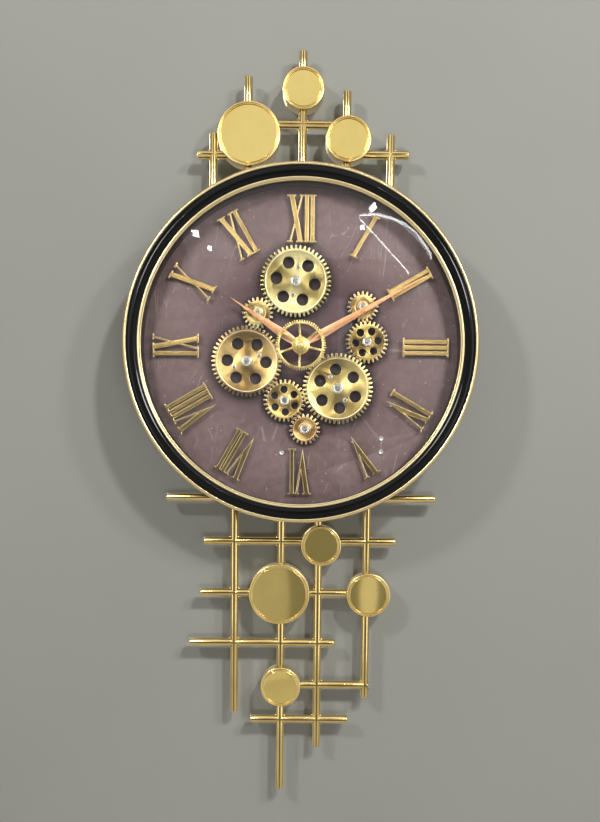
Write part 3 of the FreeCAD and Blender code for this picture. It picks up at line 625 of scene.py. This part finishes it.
# %% Turned gear faces
def gear_finish(name, centre, radius, dark, bright, wedge_degrees, roughness=0.36):
    material, tree, shader, place = new_finish(name, roughness, 1.0)
    marks = use_group(tree, turning, Place=place, Centre=centre, Fineness=2600.0,
                      Wedge_turn=math.radians(wedge_degrees))
    # Painted reflection: the bow tie of light on the turned face, between a shaded and a lit
    # tone.
    painted_wedge_shade = shaded(dark, 0.42)
    painted_wedge_light = shaded(bright, 0.62)
    painted_wedges = mixed(tree, marks.outputs["Wedge"], painted_wedge_shade, painted_wedge_light)
    ringed = mixed(tree, times(tree, marks.outputs["Ring"], 0.3), painted_wedges,
                   shaded(dark, 0.62))
    from_hub = marks.outputs["Distance"]
    hub_dark = remapped(tree, from_hub, radius * 0.55, radius * 0.12)
    tarnished = mixed(tree, times(tree, hub_dark, 0.25), ringed,
                      shaded(dark, 0.4))
    # Painted highlight: a pale ring at the edge of the face's recess.
    rim_inside = remapped(tree, from_hub, radius * 0.835, radius * 0.85)
    rim_outside = remapped(tree, from_hub, radius * 0.875, radius * 0.86)
    painted_rim_highlight = times(tree, rim_inside, rim_outside)
    edge_highlight_tone = tuple(0.4 + v * 0.55 for v in bright[:3]) + (1.0,)
    rim_highlighted = mixed(tree, times(tree, painted_rim_highlight, 0.6), tarnished, edge_highlight_tone)
    # Edges are painted pale: a painted highlight, with some polish.
    paint_with(shader, edged(tree, rim_highlighted, edge_highlight_tone, 0.8))
    roughen(shader, marks.outputs["Ring"], roughness * 0.8, roughness * 1.3)
    emboss(shader, marks.outputs["Ring"], 0.012 * mm, 0.6)
    return material


# %% [markdown]
# The caps are polished steel with a slightly olive tarnish. The modules' plastic is black with a
# fine spark texture, and the seal is rubber.

# %% Caps, plastic and rubber
cap_silver, tree, shader, place = new_finish("cap silver", 0.22, 1.0)
haze = clouds(tree, place, 160.0, tone(142, 140, 124), tone(172, 170, 154))
smear = brushed(tree, place, (1.0, 1.0, 0.3), 500.0)
# Edges are painted pale: a painted highlight, with some polish.
paint_with(shader, edged(tree, haze.outputs["Color"], tone(232, 232, 226)))
roughen(shader, smear.outputs["Streak"], 0.2, 0.32)
emboss(shader, smear.outputs["Height"], 0.01 * mm, 0.5)


def moulded(name, roughness, low, high, cloud_scale, grain_scale, detail, rough, relief):
    material, tree, shader, place = new_finish(name, roughness)
    grain = noise(tree, place, grain_scale, detail)
    paint_with(shader, clouds(tree, place, cloud_scale, low, high).outputs["Color"])
    roughen(shader, grain, *rough)
    emboss(shader, grain, 0.05 * mm, relief)
    return material


module_plastic = moulded("module plastic", 0.5, tone(34, 34, 35), tone(44, 44, 45), 60.0,
                         1500.0, 2.0, (0.42, 0.62), 0.8)
seal_rubber = moulded("seal rubber", 0.7, tone(36, 36, 36), tone(50, 49, 48), 80.0,
                      900.0, 3.0, (0.62, 0.8), 0.6)

# %% [markdown]
# A cell's sleeve is green with a pale band near its button end. The two cells lie along X, each
# in its own module, so the band is found from how far a point is from its cell's left end. The
# bare end stays metal.

# %% Cell sleeve
cell_wrap, tree, shader, place = new_finish("cell wrap", 0.3)
cells_low, cells_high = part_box("cells")
cell_length = 50.5 * mm
first_end = cells_low.x + cell_length
along = add_node(tree, "SeparateXYZ", None, {0: place}).outputs["X"]
second_cell = combine(tree, "GREATER_THAN", along, first_end + mm)
start_of_cell = times(tree, second_cell, cells_high.x - cell_length - cells_low.x)
on_cell = combine(tree, "SUBTRACT", combine(tree, "SUBTRACT", along, cells_low.x), start_of_cell)
band_share, bare_share = 0.74, 0.968
band = combine(tree, "GREATER_THAN", on_cell, cell_length * band_share)
bare = combine(tree, "GREATER_THAN", on_cell, cell_length * bare_share)
sleeve = clouds(tree, place, 90.0, tone(38, 92, 62), tone(48, 108, 74))
banded = mixed(tree, band, sleeve.outputs["Color"], tone(206, 190, 132))
paint_with(shader, mixed(tree, bare, banded, tone(190, 188, 184)))
tree.links.new(bare, shader.inputs["Metallic"])
scuff = brushed(tree, place, (0.2, 1.0, 1.0), 500.0)
roughen(shader, scuff.outputs["Streak"], 0.25, 0.4)
emboss(shader, scuff.outputs["Height"], 0.01 * mm, 0.4)

# %% [markdown]
# A path tracer would have to find every lamp through two curved surfaces, so shadow and diffuse
# rays pass straight through the glass, while camera and mirrors see its faint reflections.

# %% Clear glass
clear_glass, tree, shader, place = new_finish("clear glass", 0.0)
shader.inputs["Transmission Weight"].default_value = 1.0
shader.inputs["IOR"].default_value = 1.3
shader.inputs["Base Color"].default_value = (0.99, 1.0, 0.99, 1.0)
shader.inputs["Specular IOR Level"].default_value = 0.5
smudge = clouds(tree, place, 14.0, (0.0, 0.0, 0.0, 1.0), (1.0, 1.0, 1.0, 1.0))
roughen(shader, smudge.outputs["Cloud"], 0.0, 0.02)
path = add_node(tree, "LightPath")
passing = combine(tree, "MAXIMUM", path.outputs["Is Shadow Ray"], path.outputs["Is Diffuse Ray"])
cleared(tree, shader, passing)
print("finishes", len(bpy.data.materials))

# %% [markdown]
# ## Modelling helpers
# An operator acts on all that is selected, so every piece starts from an empty selection. Round
# pieces are lathed: a ring of points is extruded along a profile and scaled about its axis.


# %% Start and finish a piece
merge_distance = 0.002 * mm
smooth_degrees = 35


def clear_selection():
    if bpy.context.object and bpy.context.object.mode != "OBJECT":
        bpy.ops.object.mode_set(mode="OBJECT")
    bpy.ops.object.select_all(action="DESELECT")


def edit_all():
    bpy.ops.object.mode_set(mode="EDIT")
    bpy.ops.mesh.select_all(action="SELECT")


def settle(piece, angle=smooth_degrees):
    """Applies the place to the mesh, turns the faces outwards and smooths all but sharp edges."""
    edit_all()
    bpy.ops.mesh.remove_doubles(threshold=merge_distance)
    bpy.ops.mesh.normals_make_consistent(inside=False)
    bpy.ops.object.mode_set(mode="OBJECT")
    bpy.ops.object.transform_apply(location=True, rotation=True, scale=True)
    bpy.ops.object.shade_smooth_by_angle(angle=math.radians(angle))
    return piece


def dress(piece, material, slot, *nodes, body="clock_body"):
    piece.data.materials.clear()
    piece.data.materials.append(material)
    if nodes:
        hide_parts(*nodes)
    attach(piece, body)
    return piece


def lathed(name, centre, outline, sides, capped=False):
    """Turns (radius, depth) points round an axis through centre. A radius of 0 closes a pole."""
    clear_selection()
    radius, depth = outline[0]
    bpy.ops.mesh.primitive_circle_add(
        vertices=sides, radius=radius, fill_type="NGON" if capped else "NOTHING",
        location=(centre[0], -depth, centre[1]), rotation=(math.pi / 2, 0, 0))
    piece = bpy.context.object
    piece.name = piece.data.name = name
    bpy.ops.object.transform_apply(location=True, rotation=True, scale=True)
    edit_all()
    for next_radius, next_depth in outline[1:]:
        bpy.ops.mesh.extrude_region_move(
            TRANSFORM_OT_translate={"value": (0, depth - next_depth, 0)})
        if next_radius == 0:
            bpy.ops.mesh.merge(type="CENTER")
            break
        share = next_radius / radius
        bpy.ops.transform.resize(value=(share, 1, share),
                                 center_override=(centre[0], -next_depth, centre[1]))
        radius, depth = next_radius, next_depth
    return settle(piece)


def joined(name, pieces):
    clear_selection()
    for piece in pieces:
        piece.select_set(True)
    bpy.context.view_layer.objects.active = pieces[0]
    if len(pieces) > 1:
        bpy.ops.object.join()
    pieces[0].name = pieces[0].data.name = name
    return pieces[0]


# %% [markdown]
# Toothed, cut and folded pieces have their shape in the model. A copy is merged, its flat faces
# are cleaned of triangles, and every sharp edge gets a small bevel that catches the light.


# %% Copy a node and round its edges
edge_steps = 2
edge_degrees = 30


def copied(node):
    clear_selection()
    source = frame["nodes"][node]
    source.select_set(True)
    bpy.context.view_layer.objects.active = source
    bpy.ops.object.duplicate()
    piece = bpy.context.object
    bpy.ops.object.parent_clear(type="CLEAR_KEEP_TRANSFORM")
    for key in list(piece.keys()):
        if key.startswith("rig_"):
            del piece[key]
    bpy.ops.mesh.customdata_custom_splitnormals_clear()
    edit_all()
    bpy.ops.mesh.remove_doubles(threshold=merge_distance)
    bpy.ops.mesh.dissolve_limited(angle_limit=math.radians(0.5))
    bpy.ops.object.mode_set(mode="OBJECT")
    return piece


def rounded(node, name, material, slot, width, body="clock_body"):
    piece = copied(node)
    piece.name = piece.data.name = name
    bevel = piece.modifiers.new("edge", "BEVEL")
    bevel.width, bevel.segments = width, edge_steps
    bevel.limit_method, bevel.angle_limit = "ANGLE", math.radians(edge_degrees)
    bpy.ops.object.modifier_apply(modifier="edge")
    bpy.ops.object.shade_smooth_by_angle(angle=math.radians(smooth_degrees))
    return dress(piece, material, slot, node, body=body)


def solids_of(node):
    """The boxes of a node's separate solids: a merged copy falls apart into loose parts."""
    copied(node)
    edit_all()
    bpy.ops.mesh.separate(type="LOOSE")
    bpy.ops.object.mode_set(mode="OBJECT")
    boxes = []
    for part in list(bpy.context.selected_objects):
        points = [vertex.co for vertex in part.data.vertices]
        boxes.append([Vector([end(p[i] for p in points) for i in range(3)])
                      for end in (min, max)])
        bpy.data.objects.remove(part)
    return boxes


# %% [markdown]
# ## The bezel
# Two gold rings hold a black band between them. The outer ring is a half-round with a groove, the
# inner one is a soft roll with a step towards the glass, and the band swells forward.


# %% Rings and band
def bow(start, end, rise, steps=10):
    """Points from start to end along a bow that stands rise off the straight line."""
    (r0, d0), (r1, d1) = start, end
    length = math.hypot(r1 - r0, d1 - d0)
    across = ((d1 - d0) / length, -(r1 - r0) / length)
    points = []
    for index in range(steps + 1):
        share = index / steps
        lift = rise * 4 * share * (1 - share)
        points.append((r0 + (r1 - r0) * share + across[0] * lift,
                       d0 + (d1 - d0) * share + across[1] * lift))
    return points


def round_of(box):
    """The middle, radius, back depth and front depth of a round piece from its box."""
    low, high = box
    middle = ((low.x + high.x) / 2, (low.z + high.z) / 2)
    return middle, (high.x - low.x) / 2, -high.y, -low.y


def box_of(node):
    return round_of(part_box(node))[1:]


centre = (axis.x, axis.z)
ring_sides = 288
outer, ring_back, ring_front = box_of("bezel_outer_ring")
band_outer, band_back, band_front = box_of("bezel_band")
inner_outer, inner_back, inner_front = box_of("bezel_inner_ring")
sight = inner_outer - 5.8 * mm
groove = 0.7 * mm
ring_profile = [(band_outer, ring_back), (outer - 0.6 * mm, ring_back),
                (outer, ring_back + 0.8 * mm), (outer, ring_front - 3.2 * mm)]
ring_profile += bow((outer, ring_front - 3.2 * mm), (outer - 2.3 * mm, ring_front - 0.2 * mm),
                    0.5 * mm, 5)[1:]
ring_profile += [(outer - 2.6 * mm, ring_front - groove), (outer - 2.9 * mm, ring_front - groove)]
ring_profile += bow((outer - 3.1 * mm, ring_front - 0.2 * mm),
                    (band_outer, ring_front - 0.5 * mm), 0.18 * mm, 4)
ring_profile.append(ring_profile[0])
outer_ring = lathed("outer_gold_ring", centre, ring_profile, ring_sides)
dress(outer_ring, trim_gold, "gold_trim", "bezel_outer_ring")

band_inner = inner_outer + 0.1 * mm
band_profile = [(band_inner, band_back), (band_outer - 0.02 * mm, band_back)]
band_profile += bow((band_outer - 0.02 * mm, band_front - 4.2 * mm),
                    (band_inner, band_front - 2.6 * mm), 3.3 * mm, 16)
band_profile.append(band_profile[0])
band = lathed("black_band", centre, band_profile, ring_sides)
dress(band, band_black, "band_lacquer", "bezel_band")

step = 1.6 * mm
roll_profile = [(inner_outer, inner_back), (inner_outer, inner_front - 1.7 * mm)]
roll_profile += bow((inner_outer, inner_front - 1.7 * mm),
                    (sight + step, inner_front - 1.9 * mm), 1.5 * mm, 10)[1:]
roll_profile += bow((sight + step, inner_front - 2.2 * mm), (sight, inner_front - 3.2 * mm),
                    0.35 * mm, 4)
roll_profile += [(sight, inner_back), (inner_outer, inner_back)]
inner_ring = lathed("inner_gold_ring", centre, roll_profile, ring_sides)
dress(inner_ring, trim_gold, "gold_trim", "bezel_inner_ring")
print("bezel", len(outer_ring.data.polygons), len(band.data.polygons))

# %% Case, glass and seal
for node, name, material, slot, width in (
        ("case_ring", "case_wall", case_black, "case_lacquer", 0.5),
        ("back_panel", "rear_board", panel_board, "panel_lacquer", 0.35),
        ("glass_dome", "domed_glass", clear_glass, "clear_glass", 0.2),
        ("dial_plate", "dial", dial_paint, "dial_paint", 0.25),
        ("glass_gasket", "glass_seal", seal_rubber, "seal_rubber", 0.2)):
    rounded(node, name, material, slot, width * mm)
    print(name)

# %% [markdown]
# ## Hours, gears and hands
# The hours, gears and hands keep the model's outlines with rounded edges, and each gear gets its
# own turned face.

# %% Hours
for node in [name for name in frame["nodes"] if name.startswith("hour_")]:
    if node not in ("hour_hand", "hour_pipe", "hour_posts"):
        rounded(node, node + "_figure", hour_gold, "hour_gold", 0.18 * mm)

# %% Gears
# Each gear's two tones are the ends of its painted reflection, and the wedge turn places it.
gear_looks = {
    "drive_gear": ("drive_wheel", tone(148, 118, 66), tone(232, 196, 128), 0),
    "gear_top": ("top_wheel", tone(150, 132, 76), tone(240, 224, 160), 80),
    "gear_right": ("right_wheel", tone(172, 146, 82), tone(236, 212, 136), 20),
    "middle_gear_lower": ("lower_middle_wheel", tone(146, 116, 54), tone(232, 200, 116), 60),
    "middle_gear_right": ("right_middle_wheel", tone(140, 112, 60), tone(228, 196, 118), 100),
    "small_gear_left": ("left_small_wheel", tone(150, 120, 62), tone(236, 210, 136), 70),
    "small_gear_right": ("right_small_wheel", tone(150, 118, 66), tone(226, 190, 120), 90),
    "small_gear_bottom": ("bottom_small_wheel", tone(164, 122, 66), tone(226, 186, 118), 60),
}
for node, (body, dark, bright, wedge_degrees) in gear_looks.items():
    face = gear_finish(node + " face", joint_place[body + "_turn"], box_of(node)[0], dark,
                       bright, wedge_degrees)
    slot = "gear_bronze" if node == "small_gear_bottom" else "gear_brass"
    rounded(node, node + "_wheel", face, slot, 0.45 * mm, body)
print("gears", len(gear_looks))

# %% Hands and centre wheel
rounded("hour_hand", "hour_blade", hand_copper, "hand_copper", 0.15 * mm, "hour_body")
rounded("minute_hand", "minute_blade", hand_copper, "hand_copper", 0.15 * mm, "minute_body")
rounded("centre_wheel", "spoked_wheel", wheel_gold, "wheel_gold", 0.15 * mm, "seconds_body")


# %% [markdown]
# Caps and screw heads are small turned pieces. A cap has a rolled edge and a shallow dish, and a
# pan head has a round recess.


# %% Caps
small_sides = 48


def cap(name, box):
    middle, radius, back, front = round_of(box)
    outline = [(radius * 0.96, back), (radius, back + 0.2 * mm), (radius, front - 0.9 * mm)]
    outline += bow(outline[-1], (radius * 0.74, front), 0.3 * mm, 6)[1:]
    outline += [(radius * 0.66, front - 0.1 * mm), (radius * 0.58, front - 0.55 * mm),
                (radius * 0.3, front - 0.4 * mm), (0, front - 0.35 * mm)]
    return lathed(name, middle, outline, small_sides, capped=True)


caps = [cap("cap", box) for box in solids_of("post_caps")]
dress(joined("hub_caps", caps), cap_silver, "cap_silver", "post_caps")
dress(cap("driven_cap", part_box("drive_cap")), cap_silver, "cap_silver", "drive_cap",
      body="drive_wheel")
print("caps", len(caps) + 1)


# %% Screws with recessed heads
def pan_screw(box, head_height, shank_radius):
    middle, radius, back, front = round_of(box)
    seat = front - head_height
    recess = radius * 0.36
    outline = [(shank_radius, back), (shank_radius, seat), (radius * 0.97, seat)]
    outline += bow((radius, seat + 0.15 * mm), (radius * 0.66, front), 0.22 * mm, 6)
    outline += [(recess * 1.12, front), (recess, front - 0.12 * mm),
                (recess * 0.94, front - head_height * 0.6), (0, front - head_height * 0.66)]
    return lathed("screw", middle, outline, small_sides, capped=True)


dial_screws = [pan_screw(box, head_height=2.4 * mm, shank_radius=2 * mm)
               for box in solids_of("dial_screws")]
dress(joined("dial_pan_screws", dial_screws), pin_steel, "pin_steel", "dial_screws")
for gear, body in (("drive_gear", "drive_wheel"), ("gear_top", "top_wheel"),
                   ("gear_right", "right_wheel")):
    node = gear + "_screws"
    screws = [pan_screw(box, head_height=1.2 * mm, shank_radius=1.6 * mm)
              for box in solids_of(node)]
    dress(joined(gear + "_pan_screws", screws), cap_silver, "cap_silver", node, body=body)
print("screws", len(dial_screws))

# %% [markdown]
# The arbor's boss in front of the wheel is a small polished dome with a round recess on top.

# %% Arbor and boss
arbor_radius, arbor_back, arbor_front = box_of("seconds_arbor")
wheel_front = box_of("centre_wheel")[2]
arbor_outline = [(0.9 * mm, arbor_back), (0.9 * mm, wheel_front), (arbor_radius, wheel_front)]
arbor_outline += bow((arbor_radius, wheel_front + 1.4 * mm),
                     (1.3 * mm, arbor_front - 0.1 * mm), 0.55 * mm, 8)
arbor_outline += [(1.0 * mm, arbor_front - 0.5 * mm), (0, arbor_front - 0.5 * mm)]
arbor = lathed("seconds_boss", centre, arbor_outline, small_sides, capped=True)
dress(arbor, wheel_gold, "wheel_gold", "seconds_arbor", body="seconds_body")

# %% [markdown]
# ## Lattices
# The bars are round tubes of one size, welded where they cross. Where the model cuts a crossbar
# short at an upright, the new bar runs on into it, and a small bead of weld fills each corner.

# %% Bars
bar_low, bar_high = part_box("lower_uprights")
bar_radius = (bar_high.y - bar_low.y) / 2
bar_depth = (bar_high.y + bar_low.y) / 2
weld_reach = 2.2 * mm
bar_sides = 40
tip_round = 1.1 * mm


def bar(low, high, fixed, along):
    clear_selection()
    middle = (low + high) / 2
    spot = (middle, bar_depth, fixed) if along == "x" else (fixed, bar_depth, middle)
    rotation = (0, math.pi / 2, 0) if along == "x" else (0, 0, 0)
    bpy.ops.mesh.primitive_cylinder_add(vertices=bar_sides, radius=bar_radius,
                                        depth=high - low, location=spot, rotation=rotation)
    piece = bpy.context.object
    bevel = piece.modifiers.new("tip", "BEVEL")
    bevel.width, bevel.segments, bevel.angle_limit = tip_round, 3, math.radians(60)
    bpy.ops.object.modifier_apply(modifier="tip")
    return settle(piece)


upright_lines, crossings = [], []
for node in ("upper_uprights", "lower_uprights"):
    pieces = []
    for low, high in solids_of(node):
        x = (low.x + high.x) / 2
        pieces.append(bar(low.z, high.z, x, "z"))
        upright_lines.append((x, low.z, high.z))
    dress(joined(node + "_bars", pieces), lattice_gold, "lattice_gold", node)
for node in ("upper_crossbars", "lower_crossbars"):
    pieces = []
    for low, high in solids_of(node):
        z = (low.z + high.z) / 2
        left, right = low.x, high.x
        for x, start, end in upright_lines:
            if start - mm < z < end + mm:
                for side in (left, right):
                    if abs(x - side) < weld_reach:
                        crossings.append((x, z, 1 if side == left else -1))
                left = x if abs(x - left) < weld_reach else left
                right = x if abs(x - right) < weld_reach else right
        pieces.append(bar(left, right, z, "x"))
    dress(joined(node + "_bars", pieces), lattice_gold, "lattice_gold", node)
print("bars joined, crossings", len(crossings))

# %% Weld beads
bead_radius = 1.5 * mm
bead_shape = (1.15, 0.8, 1.0)


def bead(spot):
    clear_selection()
    bpy.ops.mesh.primitive_uv_sphere_add(segments=10, ring_count=6, radius=bead_radius,
                                         location=spot)
    piece = bpy.context.object
    piece.scale = bead_shape
    return settle(piece, 80)


beads = []
for x, z, side in crossings:
    for rise in (-1, 1):
        corner = bar_radius + bead_radius * 0.25
        beads.append(bead((x + side * corner, bar_depth - bar_radius * 0.1, z + rise * corner)))
dress(joined("weld_beads", beads), lattice_gold, "lattice_gold")
print("weld beads", len(beads))

# %% [markdown]
# ## Cups and mirrors
# Each mirror sits in a drum that is closed at the back. The drum's rim is a rolled bead, then a
# narrow groove, then a fine inner line that holds the mirror.


# %% Drums
def drum(box):
    middle, radius, back, front = round_of(box)
    outline = [(radius * 0.5, back), (radius - 0.8 * mm, back),
               (radius - 0.25 * mm, back + 0.6 * mm), (radius - 0.25 * mm, front - 2.4 * mm)]
    outline += bow((radius - 0.1 * mm, front - 2.0 * mm), (radius - 1.9 * mm, front - 0.3 * mm),
                   0.6 * mm, 8)
    outline += [(radius - 2.1 * mm, front - 2.9 * mm), (radius - 3.4 * mm, front - 2.9 * mm)]
    outline += bow((radius - 3.5 * mm, front - 1.6 * mm), (radius - 4.5 * mm, front - 1.7 * mm),
                   0.4 * mm, 5)
    outline += [(radius - 4.6 * mm, front - 3.2 * mm), (radius * 0.5, front - 3.2 * mm),
                (0, front - 3.2 * mm)]
    return lathed("drum", middle, outline, 128, capped=True)


def mirror(box):
    middle, radius, back, front = round_of(box)
    outline = [(radius, back), (radius, front - 0.5 * mm), (radius - 0.5 * mm, front - 0.08 * mm)]
    outline += [(radius - 0.6 * mm, front - 0.06 * mm), (radius - 0.9 * mm, front - 0.055 * mm)]
    outline += bow((radius - 1.4 * mm, front - 0.05 * mm), (0, front), 0.03 * mm, 5)[:-1]
    outline.append((0, front))
    return lathed("mirror", middle, outline, 96, capped=True)


for side in ("upper", "lower"):
    drums = [drum(box) for box in solids_of(side + "_cups")]
    dress(joined(side + "_drums", drums), cup_gold, "cup_gold", side + "_cups")
    discs = [mirror(box) for box in solids_of(side + "_mirrors")]
    dress(joined(side + "_discs", discs), mirror_gold, "gold_mirror", side + "_mirrors")
    print(side, "drums", len(drums))

# %% [markdown]
# ## The back and the hidden pieces
# Modules, cells, hanging plate, posts and pipes keep the model's shapes with rounded edges. The
# setting knob is knurled: every other face of its rim is pushed in a little.

# %% Modules, plate and small parts
plain_parts = {
    "movement": (module_plastic, "module_plastic", 0.5),
    "gear_motor": (module_plastic, "module_plastic", 0.5),
    "cells": (cell_wrap, "cell_wrap", 0.5),
    "threaded_bushes": (wheel_gold, "wheel_gold", 0.15),
    "bush_nuts": (wheel_gold, "wheel_gold", 0.3),
    "hanger_plate": (pin_steel, "pin_steel", 0.4),
    "dial_spacers": (pin_steel, "pin_steel", 0.3),
    "hour_posts": (pin_steel, "pin_steel", 0.1),
    "gear_posts": (pin_steel, "pin_steel", 0.2),
    "back_screws": (pin_steel, "pin_steel", 0.3),
    "drive_shaft": (pin_steel, "pin_steel", 0.2, "drive_wheel"),
    "hour_pipe": (wheel_gold, "wheel_gold", 0.08, "hour_body"),
    "minute_pipe": (wheel_gold, "wheel_gold", 0.08, "minute_body"),
}
for node, (material, slot, width, *body) in plain_parts.items():
    rounded(node, node + "_part", material, slot, width * mm, *body)
print("small parts", len(plain_parts))

# %% Setting knob
knob_centre, knob_radius, knob_back, knob_front = round_of(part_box("set_knob"))
stem_radius = 1.5 * mm
rim_end = knob_back + 3.5 * mm
knob_outline = [(knob_radius - 0.6 * mm, knob_back), (knob_radius, knob_back + 0.5 * mm),
                (knob_radius, knob_back + 3.1 * mm), (knob_radius - 0.4 * mm, rim_end),
                (stem_radius, rim_end), (stem_radius, knob_front)]
knob = lathed("setting_knob", knob_centre, knob_outline, 72, capped=True)
bpy.ops.object.mode_set(mode="EDIT")
bpy.ops.mesh.select_all(action="DESELECT")
bpy.ops.object.mode_set(mode="OBJECT")
knurl = 0
for face in knob.data.polygons:
    out = math.hypot(face.center.x - knob_centre[0], face.center.z - knob_centre[1])
    if out > knob_radius - 0.1 * mm and face.area > mm * mm:
        face.select = knurl % 2 == 0
        knurl += 1
bpy.ops.object.mode_set(mode="EDIT")
bpy.ops.mesh.select_mode(type="FACE")
bpy.ops.mesh.inset(thickness=0.05 * mm, depth=-0.35 * mm, use_individual=True)
bpy.ops.object.mode_set(mode="OBJECT")
dress(knob, module_plastic, "module_plastic", "set_knob", body="knob_body")
print("knurls", knurl // 2)
